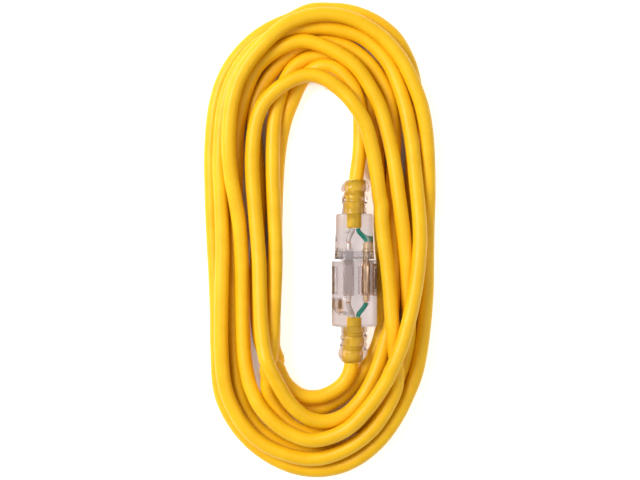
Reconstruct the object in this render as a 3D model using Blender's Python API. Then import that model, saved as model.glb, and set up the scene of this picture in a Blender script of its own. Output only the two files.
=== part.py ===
"""Coiled extension cord with clear moulded ends, the plug pushed into its own connector.

The plug and connector lie along Y on the surface z = 0, with the connector towards -Y.
The coil is an oval ring around them. Metres, +Z up, +Y from connector to plug.
"""

import math

import bpy
import bmesh
from mathutils import Vector

MM = 0.001

# ---- driving dimensions, millimetres -------------------------------------------------
CORD_D = 10.0            # round 12/3 jacket
CORD_R = CORD_D / 2
GAP = 0.3                # clearance between pieces that touch on the real object
AXIS_Z = 13.0            # height of the plug and connector axis above the surface
SECTION_N = 7            # points per corner of a rounded section
TURN_N = 36              # sides of a turned piece

PLUG_FACE_Y = 8.4
PLUG_REAR_Y = 39.9
PLUG_HALF_W_FACE = 14.0
PLUG_HALF_W_WAIST = 13.0
PLUG_HALF_H = 13.0
PLUG_WALL = 2.6
PLUG_CAVITY_REAR_Y = 36.2

CONN_FACE_Y = 7.6
CONN_REAR_Y = -38.5
CONN_HALF_W = 15.9
CONN_HALF_H = 13.0
CONN_WALL_W = 3.0
CONN_CAVITY_HALF_H = 11.0
CONN_CAVITY_REAR_Y = -34.8

CORNER_R = 7.6           # outer corner radius of both housings
BORE_R = CORD_R + GAP    # cable bore of housings and strain reliefs
RELIEF_LEN = 23.5

BLADE_PITCH = 12.7       # centre to centre of the two flat blades, one above the other
BLADE_T = 1.5
BLADE_W = 6.3
BLADE_LEN = 17.0         # beyond the plug's face
BLADE_X = -3.9
PIN_X = BLADE_X + 11.9   # ground pin beside the blades
PIN_R = 2.4
PIN_LEN = 20.2
CRIMP_R = 1.9
BRIDGE_REAR_Y = 14.6
BLADE_REAR_Y = 15.4
CRIMP_END_Y = 19.6

CARRIER_REAR_Y = -18.0
CONTACT_FRONT_Y = 5.0
CONTACT_REAR_Y = -16.0
CONTACT_LEAF_T = 0.6
CONTACT_GAP = 2.3        # between the leaves, round a 1.5 blade
CONTACT_W = 6.0
CONN_CRIMP_END_Y = -21.2
PIN_SOCKET_R = 2.72
PIN_SOCKET_WALL = 0.42

WIRE_R = 1.6
JACKET_END_PLUG_Y = 30.1
JACKET_END_CONN_Y = -32.3

COIL_H = 34.0
COIL_EDGE_R = 8.0
COIL_STATIONS = 96
# Outlines of the coiled stretch, in mm about the origin, as a few points each.
COIL_OUTER = [
    (-104.5, 64.0), (-105.0, 92.0), (-97.0, 134.5), (-84.5, 156.0), (-66.5, 171.0),
    (-36.0, 184.5), (-14.0, 188.0), (8.0, 186.0), (31.0, 176.0), (47.0, 158.0),
    (56.0, 117.0), (58.8, 77.0), (57.5, 22.0), (57.0, -26.0), (52.5, -66.0),
    (44.0, -93.0), (25.5, -122.0), (10.0, -136.0), (-10.0, -143.5), (-28.0, -145.3),
    (-46.0, -142.0), (-68.0, -130.0), (-87.0, -107.0), (-97.0, -80.0), (-101.5, -40.0),
    (-102.5, 10.0),
]
COIL_INNER = [
    (-52.5, 20.0), (-51.5, 60.0), (-48.5, 88.0), (-43.0, 112.0), (-35.0, 126.0),
    (-22.0, 132.0), (-8.0, 129.0), (3.0, 119.0), (11.5, 106.0), (15.5, 90.0),
    (17.3, 70.0), (17.9, 45.0), (18.2, 15.0), (18.2, -15.0), (17.6, -40.0),
    (14.5, -58.0), (6.0, -73.0), (-6.0, -82.0), (-20.0, -86.5), (-34.0, -86.0),
    (-45.0, -78.0), (-50.5, -64.0), (-52.6, -40.0), (-53.0, -10.0),
]
PLUG_LEAD = [
    (0.0, 64.0, 13.0), (0.0, 68.0, 13.0), (0.4, 74.0, 12.5), (1.6, 82.0, 11.4), (3.6, 93.0, 9.6), (4.4, 104.0, 8.2),
]
CONN_LEAD = [
    (0.0, -64.1, 13.0), (0.0, -66.5, 13.0), (-1.6, -70.0, 12.7), (-5.0, -74.0, 12.0),
    (-9.0, -77.2, 11.2), (-12.0, -79.2, 10.6),
]

for old in list(bpy.data.objects):
    bpy.data.objects.remove(old, do_unlink=True)
scene = bpy.context.scene
scene.unit_settings.system = "METRIC"
scene.unit_settings.scale_length = 1.0


# ---- materials -----------------------------------------------------------------------
def material(name, colour, rough, metal=0.0, transmission=0.0, alpha=1.0):
    mat = bpy.data.materials.new(name)
    mat.use_nodes = True
    bsdf = mat.node_tree.nodes["Principled BSDF"]
    bsdf.inputs["Base Color"].default_value = (*colour, 1.0)
    bsdf.inputs["Roughness"].default_value = rough
    bsdf.inputs["Metallic"].default_value = metal
    bsdf.inputs["Transmission Weight"].default_value = transmission
    bsdf.inputs["IOR"].default_value = 1.5
    bsdf.inputs["Alpha"].default_value = alpha
    mat.diffuse_color = (*colour, alpha)
    return mat


CLEAR = material("clear_pvc", (0.93, 0.94, 0.93), 0.08, transmission=0.9, alpha=0.35)
YELLOW = material("yellow_jacket", (0.95, 0.53, 0.01), 0.42)
BRIDGE = material("carrier_plastic", (0.72, 0.74, 0.74), 0.35)
BLACK = material("black_insulation", (0.015, 0.015, 0.017), 0.4)
WHITE = material("white_insulation", (0.82, 0.81, 0.78), 0.4)
GREEN = material("green_insulation", (0.02, 0.24, 0.16), 0.4)
BRASS = material("brass", (0.78, 0.58, 0.27), 0.28, metal=1.0)
NICKEL = material("plated_brass", (0.72, 0.70, 0.66), 0.25, metal=1.0)
AMBER = material("lamp_glass", (0.9, 0.45, 0.18), 0.05, transmission=0.8)
BEIGE = material("resistor_body", (0.62, 0.5, 0.34), 0.5)
TIN = material("tinned_wire", (0.7, 0.7, 0.7), 0.3, metal=1.0)

root = bpy.data.objects.new("extension_cord", None)
bpy.context.collection.objects.link(root)
plug_slide = bpy.data.objects.new("plug_slide_axis", None)
plug_slide.location = (0.0, PLUG_FACE_Y * MM, AXIS_Z * MM)
bpy.context.collection.objects.link(plug_slide)
plug_slide.parent = root
bpy.context.view_layer.update()


# ---- helpers -------------------------------------------------------------------------
def adopt(obj, parent, mat):
    obj.parent = parent
    obj.matrix_parent_inverse = parent.matrix_world.inverted()
    if mat is not None:
        obj.data.materials.clear()
        obj.data.materials.append(mat)
    return obj


def finish_mesh(name, bm, parent, mat, angle=35.0):
    bmesh.ops.recalc_face_normals(bm, faces=bm.faces)
    mesh = bpy.data.meshes.new(name)
    bm.to_mesh(mesh)
    bm.free()
    mesh.shade_smooth()
    mesh.set_sharp_from_angle(angle=math.radians(angle))
    obj = bpy.data.objects.new(name, mesh)
    bpy.context.collection.objects.link(obj)
    return adopt(obj, parent, mat)


def loft(name, rings, parent, mat, cyclic=False, angle=35.0):
    """Skin a row of rings with the same number of points; cyclic joins last to first."""
    bm = bmesh.new()
    rows = [[bm.verts.new(Vector(p) * MM) for p in ring] for ring in rings]
    n = len(rows[0])
    pairs = list(zip(rows, rows[1:] + rows[:1])) if cyclic else list(zip(rows, rows[1:]))
    for a, b in pairs:
        for i in range(n):
            j = (i + 1) % n
            bm.faces.new((a[i], a[j], b[j], b[i]))
    if not cyclic:
        bm.faces.new(rows[0][::-1])
        bm.faces.new(rows[-1])
    return finish_mesh(name, bm, parent, mat, angle)


def rounded(half_w, half_h, radius, y, zc=AXIS_Z, xc=0.0, n=SECTION_N):
    """Rounded rectangle in a plane of constant Y."""
    ring = []
    for k, (sx, sz) in enumerate(((1, 1), (-1, 1), (-1, -1), (1, -1))):
        cx, cz = sx * (half_w - radius), sz * (half_h - radius)
        for j in range(n):
            a = math.radians(90 * k + 90 * j / (n - 1))
            ring.append((xc + cx + radius * math.cos(a), y, zc + cz + radius * math.sin(a)))
    return ring


def circle(radius, y, zc=AXIS_Z, xc=0.0, n=4 * SECTION_N):
    """Circle whose points line up with those of rounded()."""
    return [
        (
            xc + radius * math.cos(2 * math.pi * (i + 0.5) / n),
            y,
            zc + radius * math.sin(2 * math.pi * (i + 0.5) / n),
        )
        for i in range(n)
    ]


def turned(name, profile, parent, mat, zc=AXIS_Z, xc=0.0, n=TURN_N, angle=40.0):
    """Closed profile of (radius, y) turned about the plug axis."""
    return loft(
        name, [circle(r, y, zc, xc, n) for r, y in profile], parent, mat, True, angle
    )


def rod(name, profile, parent, mat, zc=AXIS_Z, xc=0.0, n=20, angle=40.0):
    """Solid turned piece, capped at both ends."""
    return loft(
        name, [circle(r, y, zc, xc, n) for r, y in profile], parent, mat, False, angle
    )


def box(name, x, y, z, parent=None, mat=None, bevel=0.0):
    bm = bmesh.new()
    bmesh.ops.create_cube(bm, size=1.0)
    for v in bm.verts:
        v.co = Vector(
            (
                (x[0] + x[1]) / 2 + v.co.x * (x[1] - x[0]),
                (y[0] + y[1]) / 2 + v.co.y * (y[1] - y[0]),
                (z[0] + z[1]) / 2 + v.co.z * (z[1] - z[0]),
            )
        ) * MM
    if bevel:
        bmesh.ops.bevel(
            bm, geom=bm.edges[:], offset=bevel * MM, segments=2, affect="EDGES", profile=0.5
        )
    return finish_mesh(name, bm, parent or root, mat)


def smooth_path(points, step):
    """Evenly spaced points on a Catmull-Rom curve through the given ones."""
    pts = [Vector(p) for p in points]
    pts = [pts[0] * 2 - pts[1]] + pts + [pts[-1] * 2 - pts[-2]]
    fine = []
    for i in range(1, len(pts) - 2):
        p0, p1, p2, p3 = pts[i - 1 : i + 3]
        for k in range(40):
            t = k / 40
            fine.append(
                0.5
                * (
                    2 * p1
                    + (p2 - p0) * t
                    + (2 * p0 - 5 * p1 + 4 * p2 - p3) * t * t
                    + (3 * p1 - p0 - 3 * p2 + p3) * t**3
                )
            )
    fine.append(pts[-2])
    total = sum((b - a).length for a, b in zip(fine, fine[1:]))
    count = max(2, round(total / step))
    out, walked, want = [fine[0]], 0.0, total / count
    for a, b in zip(fine, fine[1:]):
        seg = (b - a).length
        while walked + seg >= want - 1e-9 and len(out) < count:
            out.append(a.lerp(b, (want - walked) / seg))
            want += total / count
        walked += seg
    out.append(fine[-1])
    return out


def tube(name, points, radius, parent, mat, step, sides=3):
    curve = bpy.data.curves.new(name, "CURVE")
    curve.dimensions = "3D"
    curve.bevel_depth = radius * MM
    curve.bevel_resolution = sides
    curve.use_fill_caps = True
    path = smooth_path(points, step)
    spline = curve.splines.new("POLY")
    spline.points.add(len(path) - 1)
    for point, co in zip(spline.points, path):
        point.co = (*(co * MM), 1.0)
    spline.use_smooth = True
    obj = bpy.data.objects.new(name, curve)
    bpy.context.collection.objects.link(obj)
    return adopt(obj, parent, mat)


def cut(target, cutter, operation="DIFFERENCE"):
    cutter.hide_render = True
    cutter.display_type = "WIRE"
    mod = target.modifiers.new("bool_" + cutter.name, "BOOLEAN")
    mod.operation = operation
    mod.solver = "EXACT"
    mod.object = cutter
    return target


# ---- plug ----------------------------------------------------------------------------
def shell(name, rings_out, bore_rear_y, cavity_rear_y, cavity, face_y, parent):
    """Housing: outer skin, rear bore for the cable, cavity open at the face."""
    sign = 1 if bore_rear_y > face_y else -1
    hw, hh, r = cavity
    rings = list(rings_out)
    rings.append(circle(BORE_R, bore_rear_y))
    rings.append(circle(BORE_R, cavity_rear_y))
    rings.append(rounded(hw - 2.0, hh - 2.0, r - 1.4, cavity_rear_y))
    rings.append(rounded(hw, hh, r, cavity_rear_y - sign * 2.0))
    rings.append(rounded(hw, hh, r, face_y))
    return loft(name, rings, parent, CLEAR, cyclic=True)


def side(y):
    """Half width of the plug housing, slightly waisted behind its face."""
    t = (y - PLUG_FACE_Y) / (PLUG_REAR_Y - PLUG_FACE_Y)
    return PLUG_HALF_W_WAIST + (PLUG_HALF_W_FACE - PLUG_HALF_W_WAIST) * (1 - t) ** 2.2


plug_rings = [rounded(side(PLUG_FACE_Y) - 0.4, PLUG_HALF_H, CORNER_R, PLUG_FACE_Y)]
for y in (9.0, 12.0, 16.0, 21.0, 27.0, 33.0, 36.5):
    plug_rings.append(rounded(side(y), PLUG_HALF_H, CORNER_R, y))
plug_rings.append(rounded(side(38.6) - 0.1, PLUG_HALF_H - 0.2, CORNER_R - 0.1, 38.8))
plug_rings.append(rounded(side(39.5) - 0.5, PLUG_HALF_H - 0.7, CORNER_R - 0.4, 39.6))
plug_rings.append(rounded(side(39.9) - 1.3, PLUG_HALF_H - 1.6, CORNER_R - 0.9, PLUG_REAR_Y))
PLUG_CAV = (11.4, 10.6, 5.4)
plug_housing = shell(
    "plug_housing", plug_rings, PLUG_REAR_Y, PLUG_CAVITY_REAR_Y, PLUG_CAV, PLUG_FACE_Y, plug_slide
)

y0 = PLUG_REAR_Y + GAP
relief_plug = [
    (BORE_R, y0), (8.8, y0), (8.8, 43.6), (8.5, 44.3), (9.1, 45.0), (9.2, 48.0), (9.1, 52.6),
    (8.2, 53.8), (8.2, 54.6), (9.5, 55.6), (10.1, 58.2), (9.9, 60.6), (8.6, 62.6), (6.9, 63.5),
    (BORE_R, 63.7),
]
turned("plug_strain_relief", relief_plug, plug_slide, CLEAR)

bridge = loft(
    "plug_bridge",
    [
        rounded(PLUG_CAV[0] - GAP, PLUG_CAV[1] - GAP, 5.1, PLUG_FACE_Y),
        rounded(PLUG_CAV[0] - GAP, PLUG_CAV[1] - GAP, 5.1, BRIDGE_REAR_Y),
    ],
    plug_slide,
    BRIDGE,
)
for tag, sz in (("line", -1), ("neutral", 1)):
    z = AXIS_Z + sz * BLADE_PITCH / 2
    slot = box(
        f"cut_bridge_{tag}",
        (BLADE_X - BLADE_W / 2 - GAP, BLADE_X + BLADE_W / 2 + GAP),
        (PLUG_FACE_Y - 3, BRIDGE_REAR_Y + 3),
        (z - BLADE_T / 2 - GAP, z + BLADE_T / 2 + GAP),
    )
    cut(bridge, slot)
    blade = box(
        f"plug_blade_{tag}",
        (BLADE_X - BLADE_W / 2, BLADE_X + BLADE_W / 2),
        (PLUG_FACE_Y - BLADE_LEN, BLADE_REAR_Y + 0.6),
        (z - BLADE_T / 2, z + BLADE_T / 2),
        plug_slide,
        BRASS,
        bevel=0.35,
    )
    crimp = rod(
        f"add_crimp_{tag}",
        [(CRIMP_R, BLADE_REAR_Y - 0.4), (CRIMP_R, CRIMP_END_Y)],
        root, None, zc=z, xc=BLADE_X, n=20,
    )
    cut(blade, crimp, "UNION")
    # Locating hole through the blade, near its tip.
    hole = rod(f"cut_hole_{tag}", [(1.6, -3.0), (1.6, 3.0)], root, None, zc=0.0, n=24)
    hole.rotation_euler = (math.radians(90), 0.0, 0.0)
    hole.location = (BLADE_X * MM, (PLUG_FACE_Y - 11.9) * MM, z * MM)
    cut(blade, hole)

pin_cut = rod(
    "cut_bridge_pin", [(PIN_R + GAP, PLUG_FACE_Y - 3), (PIN_R + GAP, BRIDGE_REAR_Y + 3)],
    root, None, xc=PIN_X, n=28,
)
cut(bridge, pin_cut)
tip = PLUG_FACE_Y - PIN_LEN
rod(
    "plug_ground_pin",
    [
        (0.7, tip), (1.6, tip + 0.5), (2.15, tip + 1.3), (PIN_R, tip + 2.4),
        (PIN_R, BLADE_REAR_Y), (CRIMP_R, BLADE_REAR_Y + 0.6), (CRIMP_R, CRIMP_END_Y),
    ],
    plug_slide,
    BRASS,
    xc=PIN_X,
    n=28,
)

WIRES = (
    ("black", BLADE_X, AXIS_Z - BLADE_PITCH / 2, -1.0, -2.3, -2.6, 8.4, BLACK),
    ("white", BLADE_X, AXIS_Z + BLADE_PITCH / 2, -1.0, 2.3, -2.6, 17.6, WHITE),
    ("green", PIN_X, AXIS_Z, 2.6, 0.0, 5.4, 13.0, GREEN),
)
for tag, x, z, jx, jz, mx, mz, mat in WIRES:
    a, b = CRIMP_END_Y + GAP, JACKET_END_PLUG_Y - 2 * GAP
    tube(
        f"plug_wire_{tag}",
        [
            (x, a, z), (x * 0.97, a + 1.6, z + (AXIS_Z - z) * 0.03),
            (mx, (a + b) / 2, mz),
            (jx * 1.25, b - 2.2, AXIS_Z + jz * 1.1), (jx, b, AXIS_Z + jz),
        ],
        WIRE_R, plug_slide, mat, 1.4,
    )
rod(
    "plug_cord_end",
    [(CORD_R, JACKET_END_PLUG_Y), (CORD_R, PLUG_REAR_Y), (CORD_R, 63.7)],
    plug_slide, YELLOW, n=24,
)


# ---- connector -----------------------------------------------------------------------
conn_rings = [rounded(CONN_HALF_W - 0.4, CONN_HALF_H, CORNER_R, CONN_FACE_Y)]
for y in (7.0, 0.0, -12.0, -24.0, -34.0):
    conn_rings.append(rounded(CONN_HALF_W, CONN_HALF_H, CORNER_R, y))
conn_rings.append(rounded(CONN_HALF_W - 0.3, CONN_HALF_H - 0.4, CORNER_R - 0.2, -36.8))
conn_rings.append(rounded(CONN_HALF_W - 1.1, CONN_HALF_H - 1.2, CORNER_R - 0.7, -38.0))
conn_rings.append(rounded(CONN_HALF_W - 2.2, CONN_HALF_H - 2.3, CORNER_R - 1.4, CONN_REAR_Y))
CONN_CAV = (CONN_HALF_W - CONN_WALL_W, CONN_CAVITY_HALF_H, 5.6)
connector_housing = shell(
    "connector_housing", conn_rings, CONN_REAR_Y, CONN_CAVITY_REAR_Y, CONN_CAV, CONN_FACE_Y, root
)

y0 = CONN_REAR_Y - GAP
relief_conn = [
    (BORE_R, y0), (9.4, y0), (9.4, -43.0), (8.4, -43.9), (8.4, -44.6), (9.6, -45.4), (9.8, -49.0),
    (9.6, -52.6), (8.5, -53.5), (8.5, -54.3), (9.9, -55.2), (10.35, -58.0), (10.1, -60.4),
    (8.8, -62.5), (7.0, -63.5), (BORE_R, -63.7),
]
turned("connector_strain_relief", relief_conn, root, CLEAR)

carrier = loft(
    "connector_contact_carrier",
    [
        rounded(CONN_CAV[0] - GAP, CONN_CAV[1] - GAP, 5.3, CONN_FACE_Y),
        rounded(CONN_CAV[0] - GAP, CONN_CAV[1] - GAP, 5.3, CARRIER_REAR_Y),
    ],
    root,
    BRIDGE,
)
for tag, sz in (("line", -1), ("neutral", 1)):
    z = AXIS_Z + sz * BLADE_PITCH / 2
    cut(
        carrier,
        box(
            f"cut_slot_{tag}",
            (BLADE_X - 3.65, BLADE_X + 3.65), (CONTACT_FRONT_Y, CONN_FACE_Y + 3),
            (z - 1.25, z + 1.25),
        ),
    )
    cut(
        carrier,
        box(
            f"cut_channel_{tag}",
            (BLADE_X - 3.8, BLADE_X + 3.8), (CARRIER_REAR_Y - 3, CONTACT_FRONT_Y + 0.6),
            (z - 2.4, z + 2.4),
        ),
    )
    half = CONTACT_GAP / 2 + CONTACT_LEAF_T
    contact = box(
        f"contact_{tag}",
        (BLADE_X - CONTACT_W / 2, BLADE_X + CONTACT_W / 2), (CONTACT_REAR_Y, CONTACT_FRONT_Y),
        (z - half, z + half),
        root, BRASS,
    )
    cut(
        contact,
        box(
            f"cut_contact_{tag}",
            (BLADE_X - CONTACT_W, BLADE_X + CONTACT_W),
            (CONTACT_REAR_Y + 1.2, CONTACT_FRONT_Y + 3),
            (z - CONTACT_GAP / 2, z + CONTACT_GAP / 2),
        ),
    )
    cut(
        contact,
        rod(
            f"add_conn_crimp_{tag}",
            [(CRIMP_R, CONTACT_REAR_Y + 0.6), (CRIMP_R, CONN_CRIMP_END_Y)],
            root, None, zc=z, xc=BLADE_X, n=20,
        ),
        "UNION",
    )
cut(
    carrier,
    rod("cut_pin_face", [(2.95, CONTACT_FRONT_Y - 1), (2.95, CONN_FACE_Y + 3)], root, None, xc=PIN_X, n=28),
)
socket_r = PIN_SOCKET_R + PIN_SOCKET_WALL
cut(
    carrier,
    rod(
        "cut_pin_channel",
        [(socket_r + GAP, CARRIER_REAR_Y - 3), (socket_r + GAP, CONTACT_FRONT_Y + 0.6)],
        root, None, xc=PIN_X, n=28,
    ),
)
# The ground contact: a tube closed at the back, with its crimp. One closed skin.
rod(
    "contact_ground",
    [
        (CRIMP_R, CONN_CRIMP_END_Y), (CRIMP_R, CONTACT_REAR_Y), (socket_r, CONTACT_REAR_Y + 0.3),
        (socket_r, CONTACT_FRONT_Y), (PIN_SOCKET_R, CONTACT_FRONT_Y), (PIN_SOCKET_R, -14.6),
    ],
    root, BRASS, xc=PIN_X, n=28,
)
for tag, x, z, jx, jz, mx, mz, mat in WIRES:
    a, b = CONN_CRIMP_END_Y - GAP, JACKET_END_CONN_Y + 2 * GAP
    tube(
        f"connector_wire_{tag}",
        [
            (x, a, z), (x * 0.97, a - 1.6, z + (AXIS_Z - z) * 0.03),
            (mx, (a + b) / 2, mz),
            (jx * 1.25, b + 2.2, AXIS_Z + jz * 1.1), (jx, b, AXIS_Z + jz),
        ],
        WIRE_R, root, mat, 1.4,
    )
rod(
    "connector_cord_end",
    [(CORD_R, JACKET_END_CONN_Y), (CORD_R, CONN_REAR_Y), (CORD_R, -63.7)],
    root, YELLOW, n=24,
)

# Power lamp, its resistor and their leads, beside the two live contacts' crimps.
LAMP_X, LAMP_Z, RESISTOR_Z = -9.6, 16.4, 9.6
rod(
    "power_lamp",
    [(0.8, -19.6), (1.7, -20.2), (2.0, -21.4), (2.0, -27.6), (1.6, -28.6), (0.7, -29.2)],
    root, AMBER, zc=LAMP_Z, xc=LAMP_X, n=20,
)
rod(
    "lamp_resistor",
    [(0.9, -20.2), (1.25, -20.7), (1.15, -21.7), (1.15, -24.9), (1.25, -25.9), (0.9, -26.4)],
    root, BEIGE, zc=RESISTOR_Z, xc=LAMP_X, n=16,
)
tube(
    "lamp_lead_neutral",
    [(LAMP_X, -19.2, LAMP_Z), (-9.2, -18.8, 17.4), (-8.0, -19.0, 18.6), (-6.3, -19.6, 19.3)],
    0.3, root, TIN, 0.8, sides=2,
)
tube(
    "lamp_lead_line",
    [(LAMP_X, -19.8, RESISTOR_Z), (-9.2, -19.0, 8.8), (-8.0, -19.0, 7.5), (-6.3, -19.6, 6.7)],
    0.3, root, TIN, 0.8, sides=2,
)
tube(
    "lamp_link",
    [
        (LAMP_X, -29.6, LAMP_Z), (LAMP_X, -30.6, 15.2), (LAMP_X, -30.2, 13.0),
        (LAMP_X, -28.2, 10.6), (LAMP_X, -26.8, RESISTOR_Z),
    ],
    0.3, root, TIN, 0.9, sides=2,
)


# ---- cord ----------------------------------------------------------------------------
def radius_at(outline, centre, angle):
    """Distance from centre to a closed smooth outline, in the direction of angle."""
    best = None
    count = len(outline)
    fine = []
    for i in range(count):
        p0, p1, p2, p3 = (Vector(outline[(i + k) % count]) for k in (-1, 0, 1, 2))
        for k in range(12):
            t = k / 12
            fine.append(
                0.5
                * (
                    2 * p1
                    + (p2 - p0) * t
                    + (2 * p0 - 5 * p1 + 4 * p2 - p3) * t * t
                    + (3 * p1 - p0 - 3 * p2 + p3) * t**3
                )
            )
    direction = Vector((math.cos(angle), math.sin(angle)))
    for a, b in zip(fine, fine[1:] + fine[:1]):
        a, b = a - centre, b - centre
        edge = b - a
        den = direction.x * edge.y - direction.y * edge.x
        if abs(den) < 1e-12:
            continue
        far = (a.x * edge.y - a.y * edge.x) / den
        along = (a.x * direction.y - a.y * direction.x) / den
        if far > 0 and -1e-9 <= along <= 1 + 1e-9:
            best = far if best is None else max(best, far)
    return best


CENTRE = Vector((-20.0, 22.0))
sections = []
for s in range(COIL_STATIONS):
    # Stations are even along a tall oval, so the long sides don't get coarse.
    u = 2 * math.pi * s / COIL_STATIONS
    a = math.atan2(1.9 * math.sin(u), math.cos(u))
    inner = radius_at(COIL_INNER, CENTRE, a)
    outer = radius_at(COIL_OUTER, CENTRE, a)
    e, q, h = COIL_EDGE_R, COIL_EDGE_R * (1 - math.sqrt(0.5)), COIL_H
    outline = [
        (inner + e, 0), (inner + q, q), (inner, e), (inner, h - e), (inner + q, h - q),
        (inner + e, h), (outer - e, h), (outer - q, h - q), (outer, h - e), (outer, e),
        (outer - q, q), (outer - e, 0),
    ]
    sections.append(
        [(CENTRE.x + r * math.cos(a), CENTRE.y + r * math.sin(a), z) for r, z in outline]
    )
loft("cord_coil", sections, root, YELLOW, cyclic=True, angle=50)
tube("plug_lead", PLUG_LEAD, CORD_R, plug_slide, YELLOW, 4.0)
tube("connector_lead", CONN_LEAD, CORD_R, root, YELLOW, 2.4)
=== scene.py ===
"""Looks of the coiled extension cord: one yellow cord with clear moulded ends."""

import math

import bmesh
import bpy
import numpy as np
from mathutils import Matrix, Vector


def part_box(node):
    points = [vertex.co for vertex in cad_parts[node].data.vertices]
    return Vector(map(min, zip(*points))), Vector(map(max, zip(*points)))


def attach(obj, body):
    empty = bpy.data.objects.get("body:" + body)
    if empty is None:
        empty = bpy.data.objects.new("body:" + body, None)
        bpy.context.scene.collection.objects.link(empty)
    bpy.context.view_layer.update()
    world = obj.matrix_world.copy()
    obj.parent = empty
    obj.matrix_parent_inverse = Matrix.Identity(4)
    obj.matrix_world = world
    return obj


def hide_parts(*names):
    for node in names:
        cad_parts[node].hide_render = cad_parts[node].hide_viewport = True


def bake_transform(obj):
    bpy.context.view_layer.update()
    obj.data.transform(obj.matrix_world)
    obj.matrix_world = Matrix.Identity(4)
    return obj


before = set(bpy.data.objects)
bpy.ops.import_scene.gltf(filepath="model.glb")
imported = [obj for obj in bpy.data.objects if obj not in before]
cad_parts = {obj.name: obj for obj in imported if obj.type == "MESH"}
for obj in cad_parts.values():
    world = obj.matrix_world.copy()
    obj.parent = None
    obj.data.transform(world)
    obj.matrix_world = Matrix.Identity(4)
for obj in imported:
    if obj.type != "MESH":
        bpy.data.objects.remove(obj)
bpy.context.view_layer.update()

MM = 0.001
D = 10.2  # cord diameter, mm
R = D / 2
AXIS_Z = 13.0
CONN, PLUG = "connector", "plug"

# ---- camera: straight down, long lens ---------------------------------------------
cam_data = bpy.data.cameras.new("camera")
cam_data.lens = 100.0
cam_data.sensor_width = 36.0
camera = bpy.data.objects.new("camera", cam_data)
camera.location = (-0.0238, 0.0217, 1.256)
bpy.context.scene.collection.objects.link(camera)
bpy.context.scene.camera = camera
bpy.context.scene.view_settings.view_transform = "Standard"

# ---- the cord's route ---------------------------------------------------------------
# Each run of the cord, in order from the connector to the plug: its layer, from the
# bottom up, and points along it in millimetres about the origin.
U = 0.7


def run(layer, *points):
    return layer, [((x - 354.0) * U, (271.0 - y) * U) for x, y in points]


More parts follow.
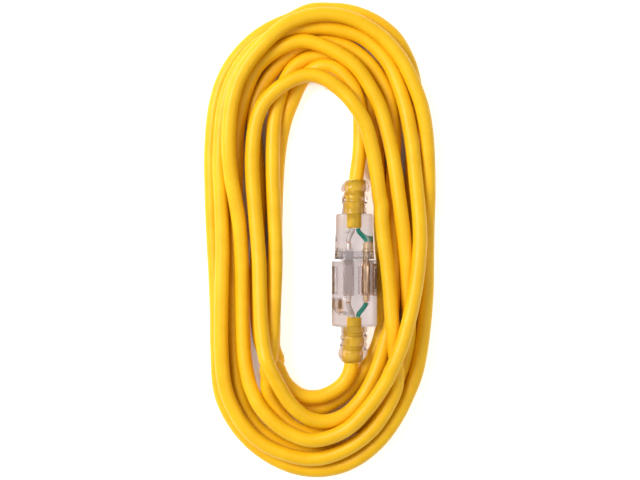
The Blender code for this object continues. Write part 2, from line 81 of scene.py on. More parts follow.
ROUTE = [
    run(1, (351.3, 362), (350.6, 368), (346.5, 378.5), (338.5, 387.5), (327, 394.5), (316, 397.5), (304, 397), (293, 391.5), (284, 382.5), (277, 370)),  # B5
    run(1, (264.5, 354), (258.5, 333), (256.5, 303), (256, 270), (257.5, 240), (258.5, 210), (257.5, 180), (255.5, 150), (253, 125)),  # LH
    run(2, (254.5, 104), (258.5, 92.5), (265, 80.5), (273, 69), (283, 58), (295, 48.5), (309, 43), (326, 40), (345, 44), (362, 54.5), (376.5, 70), (388.5, 92), (394, 122)),  # T5
    run(1, (394.5, 155), (393, 190), (393, 225), (394.5, 260), (394.5, 295), (391.5, 320), (386, 342), (379.5, 365)),  # S
    run(3, (369.5, 388), (358.5, 404.5), (344, 417.5), (326.5, 423), (308.5, 420), (291, 406.5), (277, 384.5)),  # B4
    run(4, (266, 361), (261.5, 335), (259.5, 300), (258.5, 262), (256.5, 235), (254, 205), (252, 180), (251.5, 155), (253.3, 132)),  # L4
    run(6, (256.5, 117), (262.5, 103), (270.5, 93.5), (282, 84), (296, 76.5), (310.5, 73.5), (325, 77.5), (337, 85.5), (348, 95.5), (357, 107), (364.5, 120), (369, 133)),  # T7
    run(4, (374.5, 157), (378.5, 184), (381.5, 212), (384.3, 240), (387.5, 262), (390.5, 293), (392.5, 320), (395, 347), (398, 368)),  # R4
    run(4, (397, 388), (388, 409), (373, 431), (352, 448), (330, 458), (308.5, 461), (285, 456), (263, 446), (245, 430), (231, 407)),  # B2
    run(5, (223.5, 385), (220.5, 355), (220, 325), (220.5, 290), (221.5, 255), (221, 225), (219.8, 195), (218.5, 165), (219.5, 135), (223, 105), (229.5, 83), (239, 65), (252, 49.5), (268, 37), (288, 28.5)),  # L2
    run(3, (309, 26), (325, 26), (342, 28.5), (360.4, 34.2), (373.9, 43.5), (383, 53), (390.8, 64), (397.2, 78.4), (403.2, 95.5)),  # T2
    run(6, (410, 123.8), (414, 152), (417.5, 188), (420, 214), (421, 240), (419.5, 262), (417, 285), (410.5, 318), (402, 347), (391, 375)),  # R2
    run(6, (378, 397), (365.5, 413), (349.5, 429), (331.5, 438.5), (312, 442), (296, 438), (280, 429), (264, 413), (251.5, 392)),  # B3
    run(7, (245.5, 370), (243, 347), (242, 315), (241.5, 280), (240.5, 250), (238.5, 225), (234.5, 200), (229.8, 175), (227.3, 150), (227.8, 125), (231, 100), (237, 80), (247, 61.5), (262, 43)),  # L3
    run(7, (285, 23), (306, 14.5), (325, 11.9), (343, 13.9), (362, 21), (380, 33), (392.5, 45.2), (403.5, 60), (413.5, 80)),  # T1a
    run(3, (422.5, 105), (427, 130), (429, 160), (429.5, 195), (428.5, 225), (428, 258), (427.5, 292), (424.5, 328), (419, 360)),  # R1a
    run(2, (411, 388), (399, 415), (383, 438.5), (364, 456.5), (342, 468), (319, 472), (296, 469.5), (271, 459), (248, 441.5), (230, 418)),  # B1
    run(2, (219.5, 392), (216.5, 350), (216, 312), (214.5, 275), (212.5, 240), (211, 205), (210.5, 175), (211, 145), (213, 117), (217, 95), (223.5, 76), (235, 57), (250, 42), (268, 30), (288, 19.5)),  # L1
    run(1, (310, 8.5), (330, 7.5), (347, 8.8), (364, 13.8), (380.5, 22.5), (396, 36.2), (405.5, 52)),  # T1b
    run(1.5, (412, 68), (416, 90), (415, 115), (413.5, 145), (413, 180), (413.5, 215), (414, 250), (414.5, 285), (413.5, 320), (411, 355)),  # R1b
    run(1, (405, 388), (391, 413), (371, 435), (344.5, 450), (315, 454), (286, 448.5), (263, 434.5), (247.5, 416)),  # HB1
    run(2, (239, 395), (234.5, 365), (232.5, 335), (232, 300), (232.5, 265), (233.5, 230), (234.5, 195), (235.5, 160), (236.5, 130), (241, 105), (247.5, 82), (257, 62), (270, 48)),  # X
    run(5, (285, 41.5), (301, 38.5), (318, 42), (334.2, 49.5), (350.2, 60.9), (364, 75.9), (373.5, 91.3), (381, 107)),  # T3
    run(3, (391, 143), (396, 170), (401.5, 214), (405, 240), (407.5, 270), (409, 300), (410, 330), (407, 358)),  # R3
    run(2, (399, 383), (384, 405), (363.5, 423), (339, 433.5), (315, 436.5), (293, 429), (277, 413.5), (267.5, 395)),  # HB2
    run(3, (268, 375), (271, 350), (273, 320), (274, 295), (275, 270), (275, 240), (273.5, 205), (272.5, 170), (273, 140), (275, 115), (279.5, 97)),  # L5
    run(4, (285, 81), (292.5, 67), (304, 57.5), (319, 53), (334, 56), (349, 68), (362, 88), (371, 110), (377, 133)),  # T4
    run(1, (378.5, 160), (379, 190), (380.5, 215), (382.5, 245), (384, 275), (384.2, 305), (383.2, 330), (376.5, 350), (365, 370)),  # Ra
    run(1, (348.5, 393), (332, 405), (315, 411), (299, 407), (286, 395.5)),  # HB3
    run(1, (277.5, 377), (272.5, 355), (272.8, 325), (274, 290), (274.5, 255), (275, 220), (276, 185), (278.5, 150), (283.5, 122), (291, 100)),  # L6
    run(2, (299, 83), (309, 70), (321, 63.5), (334, 65), (346, 73), (355, 87), (359.5, 105), (360.5, 125), (359.6, 150), (357.6, 168), (356.6, 174), (356, 180)),  # T6
]


def hermite(t, y, q):
    m = np.empty_like(y)
    m[1:-1] = (y[2:] - y[:-2]) / (t[2:] - t[:-2])[:, None]
    m[0] = (y[1] - y[0]) / (t[1] - t[0])
    m[-1] = (y[-1] - y[-2]) / (t[-1] - t[-2])
    i = np.clip(np.searchsorted(t, q, side="right") - 1, 0, len(t) - 2)
    h = t[i + 1] - t[i]
    u = ((q - t[i]) / h)[:, None]
    h = h[:, None]
    return (
        (2 * u**3 - 3 * u**2 + 1) * y[i]
        + (u**3 - 2 * u**2 + u) * h * m[i]
        + (-2 * u**3 + 3 * u**2) * y[i + 1]
        + (u**3 - u**2) * h * m[i + 1]
    )


def arc(p):
    return np.r_[0, np.cumsum(np.linalg.norm(np.diff(p, axis=0), axis=1))]


def near_pairs(p, skip, reach):
    found_i, found_j = [], []
    for a in range(0, len(p), 260):
        d2 = ((p[a : a + 260, None, :] - p[None, :, :]) ** 2).sum(-1)
        i, j = np.nonzero(d2 < reach * reach)
        i = i + a
        keep = j - i >= skip
        found_i.append(i[keep])
        found_j.append(j[keep])
    return np.concatenate(found_i), np.concatenate(found_j)


def clear_of_ends(p, first, last):
    """Push the coil's points out of the housings and strain reliefs, with room for the plug to slide."""
    x, y, z = p[first:last, 0], p[first:last, 1], p[first:last, 2] - AXIS_Z
    for lo, hi, hw in ((-39.0, 9.0, 15.9), (7.0, 44.0, 14.0)):
        r = 7.6
        qx, qz = np.abs(x) - (hw - r), np.abs(z) - (13.0 - r)
        ox, oz = np.maximum(qx, 0), np.maximum(qz, 0)
        out = np.hypot(ox, oz) + np.minimum(np.maximum(qx, qz), 0) - r
        hit = (y > lo - 3) & (y < hi + 3) & (out < R + 0.05)
        push = (R + 0.05 - out[hit])
        n = np.maximum(np.hypot(ox[hit], oz[hit]), 1e-6)
        x[hit] += np.sign(x[hit]) * push * np.maximum(ox[hit] / n, 0.6)
    for ys, rs in (
        ((-74.0, -64.0, -59.5, -38.0, -30.0), (0.0, 6.8, 10.3, 10.3, 0.0)),
        ((30.0, 38.0, 80.0, 95.0), (0.0, 10.1, 10.1, 0.0)),
    ):
        r = np.interp(y, ys, rs)
        far = np.hypot(x, z)
        hit = (r > 0) & (far < r + R + 0.1)
        push = r + R + 0.1 - far
        push *= np.minimum(1, r / 5)
        x[hit] += np.sign(x[hit]) * push[hit]
    p[first:last, 0] = x


EYE, EYE_Z = np.array([-23.8, 21.7]), 1256.0  # the route is as seen from here
FALL, HOLD = 0.14, 0.3  # per step: drop in mm, and share of the way back to the route


def settle(steps=700):
    """Lay the cord down: its plan follows the route, its heights come from what lies under it."""
    pts, layer = [], []
    for rank, points in ROUTE:
        pts += points
        layer += [rank] * len(points)
    pts = np.array(pts)
    s = arc(pts)
    count = int(s[-1] / 5.0)
    at = np.linspace(0, s[-1], count + 1)
    plan = hermite(s, pts, at)
    rank = np.interp(at, s, np.array(layer, float))
    rank = np.convolve(np.pad(rank, 7, mode="edge"), np.ones(15) / 15, mode="valid")
    p = np.c_[plan, R + (rank - 1) * 9.0]
    n = len(p)
    flat = plan
    inner = np.clip((np.minimum(np.arange(n), np.arange(n)[::-1]) - 3) / 12, 0, 1)[:, None]
    box9 = np.ones(9) / 9
    for k in range(steps):
        if k % 8 == 0:
            i, j = near_pairs(p, 8, D + 5)
        phase = k / steps
        p[:, 2] -= FALL if phase < 0.75 else 0.03
        plan = EYE + (flat - EYE) * (1 - inner * p[:, 2:] / EYE_Z)
        p[:, :2] += (plan - p[:, :2]) * HOLD
        d = p.copy()
        d[:, :2] -= plan
        fine = d.copy()
        fine[2:-2] = (-d[:-4] + 4 * d[1:-3] + 10 * d[2:-2] + 4 * d[3:-1] - d[4:]) / 16
        wide = np.stack(
            [np.convolve(np.pad(d[:, c], 4, mode="edge"), box9, mode="valid") for c in range(3)], 1
        )
        p = 0.55 * fine + 0.45 * wide
        p[:, :2] += plan
        for _ in range(5 if phase < 0.8 else 8):
            v = p[j] - p[i]
            length = np.linalg.norm(v, axis=1) + 1e-9
            over = np.maximum(D + 0.03 - length, 0)
            m = over > 0
            if m.any():
                q = v[m] / length[m][:, None] * (over[m] * 0.5)[:, None]
                move = np.zeros_like(p)
                hits = np.zeros(n)
                np.add.at(move, j[m], q)
                np.add.at(move, i[m], -q)
                np.add.at(hits, j[m], 1)
                np.add.at(hits, i[m], 1)
                p += move / np.maximum(hits * 0.55, 1)[:, None]
            clear_of_ends(p, 8, n - 10)
            p[:, 2] = np.maximum(p[:, 2], R)
            p[0] = [*plan[0], AXIS_Z]
            p[-1] = [*plan[-1], AXIS_Z]
            p[1, 2] = p[-2, 2] = AXIS_Z
    return p


def lay_path():
    p = settle()
    s = arc(p)
    return hermite(s, p, np.linspace(0, s[-1], int(s[-1] / 2.6)))


path = lay_path()


# ---- mesh helpers ---------------------------------------------------------------------
def link(name, mesh):
    obj = bpy.data.objects.new(name, mesh)
    bpy.context.scene.collection.objects.link(obj)
    return obj


def ring_frames(p):
    t = np.gradient(p, axis=0)
    t /= np.linalg.norm(t, axis=1)[:, None]
    n = np.zeros_like(p)
    first = np.cross(t[0], [0, 0, 1.0])
    if np.linalg.norm(first) < 1e-3:
        first = np.cross(t[0], [1.0, 0, 0])
    n[0] = first / np.linalg.norm(first)
    for k in range(1, len(p)):
        v = n[k - 1] - t[k] * np.dot(n[k - 1], t[k])
        n[k] = v / np.linalg.norm(v)
    return t, n, np.cross(t, n)


def tube_mesh(name, p, radius, sides=18, round_end=False):
    """Closed tube along points in mm; radius is a number or one per point."""
    p = np.asarray(p, float)
    radius = np.broadcast_to(np.asarray(radius, float), (len(p),))
    _, n, b = ring_frames(p)
    a = np.linspace(0, 2 * np.pi, sides, endpoint=False)
    ring = np.cos(a)[None, :, None] * n[:, None, :] + np.sin(a)[None, :, None] * b[:, None, :]
    verts = (p[:, None, :] + ring * radius[:, None, None]).reshape(-1, 3) * MM
    k = np.arange(len(p) - 1)[:, None] * sides
    i = np.arange(sides)[None, :]
    j = (i + 1) % sides
    quads = np.stack([k + i, k + j, k + sides + j, k + sides + i], -1).reshape(-1, 4)
    faces = [tuple(f) for f in quads.tolist()]
    faces.append(tuple(range(sides))[::-1])
    faces.append(tuple(range(len(p) * sides - sides, len(p) * sides)))
    mesh = bpy.data.meshes.new(name)
    mesh.from_pydata(verts.tolist(), [], faces)
    bm = bmesh.new()
    bm.from_mesh(mesh)
    bmesh.ops.recalc_face_normals(bm, faces=bm.faces)
    bm.to_mesh(mesh)
    bm.free()
    mesh.shade_smooth()
    mesh.set_sharp_from_angle(angle=math.radians(50))
    return link(name, mesh)


# ---- materials ------------------------------------------------------------------------
def principled(name, colour, rough, **sockets):
    mat = bpy.data.materials.new(name)
    mat.use_nodes = True
    nodes, links = mat.node_tree.nodes, mat.node_tree.links
    bsdf = nodes["Principled BSDF"]
    bsdf.inputs["Base Color"].default_value = (*colour, 1)
    bsdf.inputs["Roughness"].default_value = rough
    for key, value in sockets.items():
        bsdf.inputs[key.replace("_", " ")].default_value = value
    return mat, nodes, links, bsdf


def add_noise(nodes, scale, detail=3.0, rough=0.55):
    coord = nodes.new("ShaderNodeTexCoord")
    noise = nodes.new("ShaderNodeTexNoise")
    noise.inputs["Scale"].default_value = scale
    noise.inputs["Detail"].default_value = detail
    noise.inputs["Roughness"].default_value = rough
    return coord, noise


def vary_colour(nodes, links, bsdf, dark, light, scale, lo=0.35, hi=0.65):
    coord, noise = add_noise(nodes, scale)
    ramp = nodes.new("ShaderNodeValToRGB")
    ramp.color_ramp.elements[0].position = lo
    ramp.color_ramp.elements[1].position = hi
    ramp.color_ramp.elements[0].color = (*dark, 1)
    ramp.color_ramp.elements[1].color = (*light, 1)
    links.new(coord.outputs["Object"], noise.inputs["Vector"])
    links.new(noise.outputs["Fac"], ramp.inputs["Fac"])
    links.new(ramp.outputs["Color"], bsdf.inputs["Base Color"])


def add_bump(nodes, links, bsdf, scale, strength, distance, detail=4.0):
    coord, noise = add_noise(nodes, scale, detail)
    bump = nodes.new("ShaderNodeBump")
    bump.inputs["Strength"].default_value = strength
    bump.inputs["Distance"].default_value = distance
    links.new(coord.outputs["Object"], noise.inputs["Vector"])
    links.new(noise.outputs["Fac"], bump.inputs["Height"])
    links.new(bump.outputs["Normal"], bsdf.inputs["Normal"])


def vary_rough(nodes, links, bsdf, scale, lo, hi):
    coord, noise = add_noise(nodes, scale, 4.0)
    span = nodes.new("ShaderNodeMapRange")
    span.inputs["To Min"].default_value = lo
    span.inputs["To Max"].default_value = hi
    links.new(coord.outputs["Object"], noise.inputs["Vector"])
    links.new(noise.outputs["Fac"], span.inputs["Value"])
    links.new(span.outputs["Result"], bsdf.inputs["Roughness"])


def yellow_jacket(name, dark, light):
    mat, nodes, links, bsdf = principled(name, light, 0.42)
    bsdf.inputs["IOR"].default_value = 1.5
    bsdf.inputs["Specular IOR Level"].default_value = 0.3
    bsdf.inputs["Subsurface Weight"].default_value = 0.05
    bsdf.inputs["Subsurface Radius"].default_value = (0.003, 0.0014, 0.0003)
    bsdf.inputs["Subsurface Scale"].default_value = 1.0
    vary_colour(nodes, links, bsdf, dark, light, 55.0)
    add_bump(nodes, links, bsdf, 900.0, 0.12, 0.0003)
    vary_rough(nodes, links, bsdf, 240.0, 0.34, 0.5)
    return mat


YELLOW = yellow_jacket("yellow_pvc", (0.88, 0.475, 0.004), (0.94, 0.535, 0.008))
# The jacket inside the clear ends is painted brighter than the rest: a painted-light copy of the yellow that makes
# up for the light the clear plastic holds back.
YELLOW_PAINTED_BRIGHTER = yellow_jacket("yellow_pvc_painted_brighter_under_clear", (1.0, 0.64, 0.02), (1.0, 0.69, 0.05))


def paint(obj, mat):
    obj.data.materials.clear()
    obj.data.materials.append(mat)
    return obj


# ---- moulded ends ---------------------------------------------------------------------
N = 16  # points per quarter of a section


def bend(y):
    """Sideways set of the strain reliefs, mm: they lean a little with their cord."""
    if y < -38.5:
        t = (-38.5 - y) / 25.2
        return -1.9 * t * t
    if y > 39.9:
        t = (y - 39.9) / 23.8
        return 1.4 * t * t
    return 0.0


def section(half_w, half_h, radius, y):
    out = []
    for k, (sx, sz) in enumerate(((1, 1), (-1, 1), (-1, -1), (1, -1))):
        cx, cz = sx * (half_w - radius), sz * (half_h - radius)
        for j in range(N):
            a = math.radians(90 * k + 90 * j / (N - 1))
            out.append((cx + radius * math.cos(a), y, AXIS_Z + cz + radius * math.sin(a)))
    return out


def circle_ring(radius, y, slots=()):
    """Ring of a strain relief; slots are (y centre, half length, first angle, depth)."""
    out = []
    for i in range(4 * N):
        a = 2 * math.pi * (i + 0.5) / (4 * N)
        r = radius
        for centre, half, angle, depth in slots:
            along = max(0.0, 1 - abs(y - centre) / half)
            along = min(1.0, along * 2.2)
            for turn in (angle, angle + 180):
                off = (math.degrees(a) - turn + 180) % 360 - 180
                across = min(1.0, max(0.0, (44 - abs(off)) / 9))
                r = min(r, radius - depth * along * across)
        out.append((bend(y) + r * math.cos(a), y, AXIS_Z + r * math.sin(a)))
    return out


def loft_mesh(name, rings, angle=40):
    rows = np.array(rings)
    n = rows.shape[1]
    verts = rows.reshape(-1, 3) * MM
    faces = []
    for k in range(len(rows) - 1):
        for i in range(n):
            j = (i + 1) % n
            faces.append((k * n + i, k * n + j, k * n + n + j, k * n + n + i))
    faces.append(tuple(range(n))[::-1])
    faces.append(tuple(range((len(rows) - 1) * n, len(rows) * n)))
    mesh = bpy.data.meshes.new(name)
    mesh.from_pydata(verts.tolist(), [], faces)
    bm = bmesh.new()
    bm.from_mesh(mesh)
    bmesh.ops.recalc_face_normals(bm, faces=bm.faces)
    bm.to_mesh(mesh)
    bm.free()
    mesh.shade_smooth()
    mesh.set_sharp_from_angle(angle=math.radians(angle))
    return link(name, mesh)


def relief_rings(profile, slots, step=0.35):
    """Rings along a (y, radius) profile, joined smoothly."""
    ys = np.array([p[0] for p in profile])
    rs = np.array([p[1] for p in profile])
    sign = 1 if ys[-1] > ys[0] else -1
    t = np.abs(ys - ys[0])
    q = np.linspace(0, t[-1], int(t[-1] / step) + 1)
    r = np.interp(q, t, rs)
    r[2:-2] = (r[:-4] + 2 * r[1:-3] + 3 * r[2:-2] + 2 * r[3:-1] + r[4:]) / 9
    return [circle_ring(float(b), float(ys[0] + sign * a), slots) for a, b in zip(q, r)]


def waist(y):
    t = min(1.0, max(0.0, (y - 8.4) / 31.5))
    return 13.0 + 1.0 * (1 - t) ** 2.2


plug_box, conn_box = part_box("plug_housing"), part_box("connector_housing")
PLUG_FACE, PLUG_REAR = plug_box[0][1] / MM, plug_box[1][1] / MM
CONN_FACE, CONN_REAR = conn_box[1][1] / MM, conn_box[0][1] / MM

rings = [section(waist(PLUG_FACE) - 0.7, 12.4, 6.9, PLUG_FACE)]
rings.append(section(waist(PLUG_FACE) - 0.25, 12.8, 7.2, PLUG_FACE + 0.15))
rings.append(section(waist(PLUG_FACE), 13.0, 7.4, PLUG_FACE + 0.5))
for y in np.linspace(PLUG_FACE + 1.5, PLUG_REAR - 1.4, 14):
    rings.append(section(waist(y), 13.0, 7.4, float(y)))
rings.append(section(waist(39) - 0.12, 12.9, 7.3, PLUG_REAR - 0.7))
rings.append(section(waist(39) - 0.4, 12.6, 7.0, PLUG_REAR - 0.25))
rings.append(section(waist(39) - 0.9, 12.1, 6.6, PLUG_REAR))
PLUG_SLOTS = [(45.6, 1.6, 20, 1.0), (49.6, 1.6, 110, 1.0), (53.6, 1.6, 20, 1.0)]
rings += relief_rings(
    [
        (39.9, 9.5), (40.3, 8.8), (44.0, 8.75), (44.6, 9.1), (46.0, 9.15), (52.2, 9.25),
        (53.2, 9.0), (54.0, 8.3), (54.8, 8.3), (55.6, 9.8), (57.2, 10.15), (59.2, 10.1),
        (61.0, 9.3), (62.4, 8.2), (63.3, 7.2), (63.7, 6.2),
    ],
    PLUG_SLOTS,
)
plug_body = loft_mesh("clear_plug_body", rings)

rings = [section(15.2, 12.4, 6.6, CONN_FACE)]
rings.append(section(15.65, 12.8, 6.9, CONN_FACE - 0.15))
rings.append(section(15.9, 13.0, 7.1, CONN_FACE - 0.5))
for y in np.linspace(CONN_FACE - 1.5, CONN_REAR + 1.6, 18):
    rings.append(section(15.9, 13.0, 7.1, float(y)))
rings.append(section(15.7, 12.85, 7.0, CONN_REAR + 0.8))
rings.append(section(15.3, 12.5, 6.7, CONN_REAR + 0.3))
rings.append(section(14.7, 12.0, 6.3, CONN_REAR))
CONN_SLOTS = [(-44.3, 1.6, 70, 1.0), (-49.0, 1.6, 160, 1.0), (-53.8, 1.6, 70, 1.0)]
rings += relief_rings(
    [
        (-38.5, 10.0), (-38.9, 9.35), (-43.2, 9.3), (-43.9, 8.6), (-44.5, 8.6), (-45.1, 9.7),
        (-49.0, 9.85), (-52.6, 9.8), (-53.3, 9.0), (-53.9, 9.0), (-54.6, 10.1), (-57.0, 10.35),
        (-59.2, 10.0), (-61.4, 8.7), (-63.0, 7.2), (-63.7, 6.2),
    ],
    CONN_SLOTS,
)
connector_body = loft_mesh("clear_connector_body", rings)


def cutter_box(name, x, y, z, bevel=0.0):
    bm = bmesh.new()
    bmesh.ops.create_cube(bm, size=1.0)
    lo, hi = Vector((x[0], y[0], z[0])) * MM, Vector((x[1], y[1], z[1])) * MM
    for v in bm.verts:
        v.co = Vector([a + (c + 0.5) * (b - a) for a, b, c in zip(lo, hi, v.co)])
    if bevel:
        bmesh.ops.bevel(bm, geom=bm.edges[:], offset=bevel * MM, segments=2, affect="EDGES", profile=0.5)
    bmesh.ops.recalc_face_normals(bm, faces=bm.faces)
    mesh = bpy.data.meshes.new(name)
    bm.to_mesh(mesh)
    bm.free()
    return link(name, mesh)


def cutter_rod(name, x, z, y0, y1, radius):
    pts = np.array([[x, y0, z], [x, (y0 + y1) / 2, z], [x, y1, z]], float)
    return tube_mesh(name, pts, radius, 32)


def carve(target, cutters):
    """Cut each helper out of target, apply it and remove the helper."""
    for c in cutters:
        mod = target.modifiers.new("cut", "BOOLEAN")
        mod.operation = "DIFFERENCE"
        mod.solver = "EXACT"
        mod.object = c
    graph = bpy.context.evaluated_depsgraph_get()
    mesh = bpy.data.meshes.new_from_object(target.evaluated_get(graph))
    target.modifiers.clear()
    target.data = mesh
    for c in cutters:
        bpy.data.objects.remove(c, do_unlink=True)
    mesh.shade_smooth()
    mesh.set_sharp_from_angle(angle=math.radians(35))
    return target


PITCH = 6.35
blade_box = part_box("plug_blade_line")
pin_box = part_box("plug_ground_pin")
BLADE_X = (blade_box[0][0] + blade_box[1][0]) / 2 / MM
PIN_X = (pin_box[0][0] + pin_box[1][0]) / 2 / MM
holes = []
for sz in (-1, 1):
    z = AXIS_Z + sz * PITCH
    holes.append(cutter_box("h", (BLADE_X - 3.6, BLADE_X + 3.6), (4.9, 12), (z - 1.2, z + 1.2)))
    holes.append(
        cutter_box("h", (BLADE_X - 3.8, BLADE_X + 3.8), (-17.0, 5.0), (z - 2.35, z + 2.35), 0.3)
    )
holes.append(cutter_rod("h", PIN_X, AXIS_Z, 4.9, 12, 2.9))
holes.append(cutter_rod("h", PIN_X, AXIS_Z, -17.0, 5.0, 3.45))
# A shallow step round the face, left of the contacts, where the two ends don't quite meet.
holes.append(cutter_box("h", (-20, -8.6), (6.9, 9), (-2, 28)))
# Narrow slots beside the channels, which show as pale lines through the clear plastic.
for x in (-11.6, 3.2, 13.4):
    holes.append(cutter_box("h", (x - 0.45, x + 0.45), (-16.0, 3.5), (7.0, 21.5), 0.2))
carve(connector_body, holes)


def clear_plastic(name, tint, edge, rough, body=0.35, ior=1.45):
    """Clear plastic: looks straight through where it faces you, and turns to a darker tinted rim at its sides,
    painted shade in the base colour that stands in for dark surroundings seen through its edges.
    """
    mat, nodes, links, bsdf = principled(name, edge, rough)
    bsdf.inputs["Transmission Weight"].default_value = 1.0
    bsdf.inputs["IOR"].default_value = ior
    vary_rough(nodes, links, bsdf, 120.0, rough * 0.5, rough * 1.8)
    add_bump(nodes, links, bsdf, 90.0, 0.25, 0.0003, 2.0)
    through = nodes.new("ShaderNodeBsdfTransparent")
    through.inputs["Color"].default_value = (*tint, 1)
    rim = nodes.new("ShaderNodeLayerWeight")
    rim.inputs["Blend"].default_value = 0.5
    ramp = nodes.new("ShaderNodeMapRange")
    ramp.inputs["From Min"].default_value = 0.02
    ramp.inputs["From Max"].default_value = 0.42
    ramp.inputs["To Min"].default_value = body
    ramp.inputs["To Max"].default_value = 0.95
    # Base colour runs from the plastic's tint where it faces you to the rim colour at its sides: the rim is painted
    # shade.
    tone = nodes.new("ShaderNodeValToRGB")
    tone.color_ramp.elements[0].position = 0.03
    tone.color_ramp.elements[1].position = 0.5
    tone.color_ramp.elements[0].color = (*tint, 1)
    tone.color_ramp.elements[1].color = (*edge, 1)
    links.new(rim.outputs["Facing"], tone.inputs["Fac"])
    links.new(tone.outputs["Color"], bsdf.inputs["Base Color"])
    mix = nodes.new("ShaderNodeMixShader")
    out = nodes["Material Output"]
    links.new(rim.outputs["Facing"], ramp.inputs["Value"])
    links.new(ramp.outputs["Result"], mix.inputs["Fac"])
    links.new(through.outputs["BSDF"], mix.inputs[1])
    links.new(bsdf.outputs["BSDF"], mix.inputs[2])
    links.new(mix.outputs["Shader"], out.inputs["Surface"])
    return mat


# The second colour in each of these is the rim's painted shade.
CLEAR = clear_plastic("clear_pvc", (0.85, 0.79, 0.79), (0.50, 0.40, 0.36), 0.05, 0.6)
MILKY = clear_plastic("milky_insert", (0.95, 0.94, 0.95), (0.8, 0.79, 0.82), 0.2, 0.4)


def metal(name, colour, rough, metallic=1.0):
    mat, nodes, links, bsdf = principled(name, colour, rough)
    bsdf.inputs["Metallic"].default_value = metallic
    vary_rough(nodes, links, bsdf, 600.0, rough * 0.7, rough * 1.4)
    add_bump(nodes, links, bsdf, 500.0, 0.1, 0.00005)
    return mat


NICKEL = metal("nickel_plate", (0.97, 0.95, 0.93), 0.3, 0.45)
BRASS = metal("brass", (0.90, 0.72, 0.46), 0.3, 0.8)
COPPER = metal("copper_strand", (0.85, 0.46, 0.28), 0.32)
TIN = metal("tinned_wire", (0.75, 0.75, 0.75), 0.3)


def insulation(name, colour):
    mat, nodes, links, bsdf = principled(name, colour, 0.35)
    dark = tuple(c * 0.85 for c in colour)
    vary_colour(nodes, links, bsdf, dark, colour, 300.0)
    add_bump(nodes, links, bsdf, 1500.0, 0.1, 0.0001)
    return mat


INK = insulation("black_insulation", (0.02, 0.02, 0.022))
WHITE = insulation("white_insulation", (0.93, 0.93, 0.95))
TEAL = insulation("green_insulation", (0.005, 0.42, 0.30))
PAPER, nodes, links, bsdf = principled("filler", (0.88, 0.87, 0.85), 0.8)
add_bump(nodes, links, bsdf, 2500.0, 0.5, 0.0002)
# The lamp glass's rim colour is painted shade too, as for the clear plastic.
AMBER = clear_plastic("lamp_glass", (0.98, 0.86, 0.72), (0.92, 0.7, 0.5), 0.03, 0.3)
BEIGE = insulation("resistor", (0.6, 0.48, 0.33))

paint(plug_body, CLEAR)
paint(connector_body, CLEAR)
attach(plug_body, PLUG)
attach(connector_body, CONN)
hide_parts("plug_housing", "plug_strain_relief")
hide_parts("connector_housing", "connector_strain_relief", "connector_contact_carrier")

# Blade carrier: a stepped insert behind the plug's face.
insert = cutter_box("blade_carrier", (-10.2, 10.9), (9.6, 13.6), (3.4, 22.6), 1.2)
cuts = [
    cutter_box(
        "h",
        (BLADE_X - 3.4, BLADE_X + 3.4),
        (5, 20),
        (AXIS_Z + sz * PITCH - 1.0, AXIS_Z + sz * PITCH + 1.0),
    )
    for sz in (-1, 1)
]
cuts.append(cutter_rod("h", PIN_X, AXIS_Z, 5, 20, 2.65))
carve(insert, cuts)
paint(insert, MILKY)
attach(insert, PLUG)
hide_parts("plug_bridge")


# Jacket ends inside the clear plastic, following the lean of the strain reliefs.
def jacket_end(name, y_in, y_out, body, node):
    ys = np.linspace(y_in, y_out, 26)
    pts = np.array([[bend(y), y, AXIS_Z] for y in ys])
    radii = np.full(len(ys), R)
    radii[0], radii[1] = R - 0.5, R - 0.06
    pts[1, 1] = pts[0, 1] + (0.35 if y_out > y_in else -0.35)
    # The jacket ends use the painted-brighter yellow, which stands in for light lost in the clear plastic.
    obj = paint(tube_mesh(name, pts, radii, 28), YELLOW_PAINTED_BRIGHTER)
    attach(obj, body)
    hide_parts(node)
    return obj


jacket_end("plug_jacket_end", 30.1, 63.9, PLUG, "plug_cord_end")
jacket_end("connector_jacket_end", -32.3, -63.9, CONN, "connector_cord_end")


def smooth_mm(points, step=0.5):
    p = np.array(points, float)
    s = arc(p)
    return hermite(s, p, np.linspace(0, s[-1], max(8, int(s[-1] / step))))


def wire(name, points, mat, body, node):
    obj = paint(tube_mesh(name, smooth_mm(points), 1.55, 20), mat)
    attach(obj, body)
    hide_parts(node)
    return obj


def strands(name, a, b, body):
    """Seven bare copper strands between an insulation end and its crimp."""
    a, b = np.array(a, float), np.array(b, float)
    parts = []
    for k in range(7):
        off = np.zeros(3)
        if k:
            t = math.radians(60 * k)
            off = np.array([math.cos(t), 0, math.sin(t)]) * 0.72
        parts.append(tube_mesh("strand", np.array([a + off, (a + b) / 2 + off * 1.05, b + off]), 0.34, 8))
    bm = bmesh.new()
    for part in parts:
        bm.from_mesh(part.data)
    mesh = bpy.data.meshes.new(name)
    bm.to_mesh(mesh)
    bm.free()
    mesh.shade_smooth()
    for part in parts:
        bpy.data.objects.remove(part, do_unlink=True)
    obj = paint(link(name, mesh), COPPER)
    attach(obj, body)
    return obj


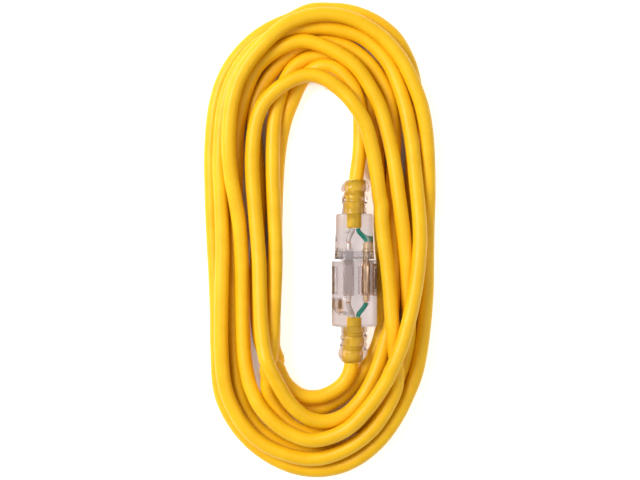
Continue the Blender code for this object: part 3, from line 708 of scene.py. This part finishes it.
WIRES = (
    ("black", BLADE_X, AXIS_Z - PITCH, -1.0, -2.3, -2.6, 8.4, INK, "black_insulation"),
    ("white", BLADE_X, AXIS_Z + PITCH, -1.0, 2.3, -2.6, 17.6, WHITE, "white_insulation"),
    ("green", PIN_X, AXIS_Z, 2.6, 0.0, 5.4, 13.0, TEAL, "green_insulation"),
)
for body, end, crimp, jacket in ((PLUG, "plug", 19.6, 30.1), (CONN, "connector", -21.2, -32.3)):
    s = 1 if jacket > crimp else -1
    for tag, x, z, jx, jz, mx, mz, mat, slot_name in WIRES:
        a, b = crimp + s * 0.9, jacket - s * 0.3
        route = [
            (x, a, z), (x * 0.98, a + s * 1.5, z + (AXIS_Z - z) * 0.03), (mx, (a + b) / 2, mz),
            (jx * 1.25, b - s * 2.2, AXIS_Z + jz * 1.1), (jx, b, AXIS_Z + jz),
        ]
        wire(f"{end}_wire_{tag}_insulated", route, mat, body, f"{end}_wire_{tag}")
        strands(f"{end}_{tag}_strands", (x, crimp - s * 0.2, z), (x, a + s * 0.3, z), body)
# Paper filler that stands out of the cut jacket.
for name, pts, body in (
    ("connector_filler", [(-3.0, -32.1, 13.4), (-4.2, -30.6, 14.2), (-6.0, -29.4, 15.2), (-7.6, -29.0, 16.0)], CONN),
    ("plug_filler", [(-3.1, 30.0, 13.2), (-4.0, 28.4, 13.8), (-5.2, 27.0, 14.2)], PLUG),
):
    obj = paint(tube_mesh(name, smooth_mm(pts), 1.35, 14), PAPER)
    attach(obj, body)

for node, mat in {
    "plug_blade_line": NICKEL, "plug_blade_neutral": NICKEL, "plug_ground_pin": BRASS,
    "contact_line": NICKEL, "contact_neutral": NICKEL, "contact_ground": BRASS,
    "power_lamp": AMBER, "lamp_resistor": BEIGE, "lamp_lead_line": TIN,
    "lamp_lead_neutral": TIN, "lamp_link": TIN,
}.items():
    paint(bpy.data.objects[node], mat)

# ---- the cord -------------------------------------------------------------------------
cord = paint(tube_mesh("yellow_cord", path, R, 18), YELLOW)
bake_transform(cord)
gone = (arc(path)[-1] - arc(path)) / 75.0
weight = 1 - np.clip(gone, 0, 1)
weight = weight * weight * (3 - 2 * weight)
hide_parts("cord_coil", "plug_lead", "connector_lead")

# ---- floor and light ------------------------------------------------------------------
# The floor glows evenly white, except in the gaps between the strands, where its glow is turned down: painted shade,
# a mask worked out from the cord's path that stands in for the light the coil shuts out.
gx = np.r_[-3000.0, np.arange(-125.0, 75.1, 2.0), 3000.0]
gy = np.r_[-3000.0, np.arange(-165.0, 207.1, 2.0), 3000.0]
grid = np.stack(np.meshgrid(gx, gy), -1).reshape(-1, 2)
glow_with_painted_shade = np.ones(len(grid))
REACH = 13.0
for k in range(0, len(grid), 1500):
    away = path[None, :, :2] - grid[k : k + 1500, None, :]
    far = np.linalg.norm(away, axis=2)
    near = far < REACH
    away /= np.maximum(far, 0.5)[:, :, None]
    total = near.sum(1)
    lean = np.linalg.norm((away * near[:, :, None]).sum(1), axis=1) / np.maximum(total, 1)
    t = np.clip((lean - 0.3) / 0.3, 0, 1)
    glow_with_painted_shade[k : k + 1500] = np.where(total > 0, t * t * (3 - 2 * t), 1.0)
wide = len(gx)
floor_mesh = bpy.data.meshes.new("floor")
floor_mesh.from_pydata(
    [(x * MM, y * MM, 0) for x, y in grid],
    [],
    [
        (r * wide + c, r * wide + c + 1, (r + 1) * wide + c + 1, (r + 1) * wide + c)
        for r in range(len(gy) - 1)
        for c in range(wide - 1)
    ],
)
floor_mesh.attributes.new("glow_with_painted_shade", "FLOAT", "POINT").data.foreach_set("value", glow_with_painted_shade.astype(np.float32))
floor = link("floor", floor_mesh)
floor.location.z = -0.0002
mat, nodes, links, bsdf = principled("white_floor", (0.9, 0.9, 0.9), 0.6)
bsdf.inputs["Emission Color"].default_value = (1, 1, 1, 1)
# The glow strength follows the painted shade mask, dimmer in the gaps between the strands.
glow = nodes.new("ShaderNodeAttribute")
glow.attribute_name = "glow_with_painted_shade"
span = nodes.new("ShaderNodeMapRange")
span.inputs["To Max"].default_value = 0.6
links.new(glow.outputs["Fac"], span.inputs["Value"])
links.new(span.outputs["Result"], bsdf.inputs["Emission Strength"])
vary_rough(nodes, links, bsdf, 8.0, 0.55, 0.7)
paint(floor, mat)

world = bpy.data.worlds.new("world")
bpy.context.scene.world = world
world.use_nodes = True
world.node_tree.nodes["Background"].inputs["Color"].default_value = (1, 1, 1, 1)
world.node_tree.nodes["Background"].inputs["Strength"].default_value = 0.4


def area(name, place, aim, size, watts):
    data = bpy.data.lights.new(name, "AREA")
    data.shape = "DISK"
    data.size = size
    data.energy = watts
    obj = bpy.data.objects.new(name, data)
    obj.location = place
    obj.rotation_euler = (Vector(aim) - Vector(place)).to_track_quat("-Z", "Y").to_euler()
    bpy.context.scene.collection.objects.link(obj)


area("key", (-0.85, 0.45, 1.1), (-0.02, 0.02, 0), 0.8, 19)
area("fill", (0.9, -0.2, 1.3), (-0.02, 0.02, 0), 1.2, 4)
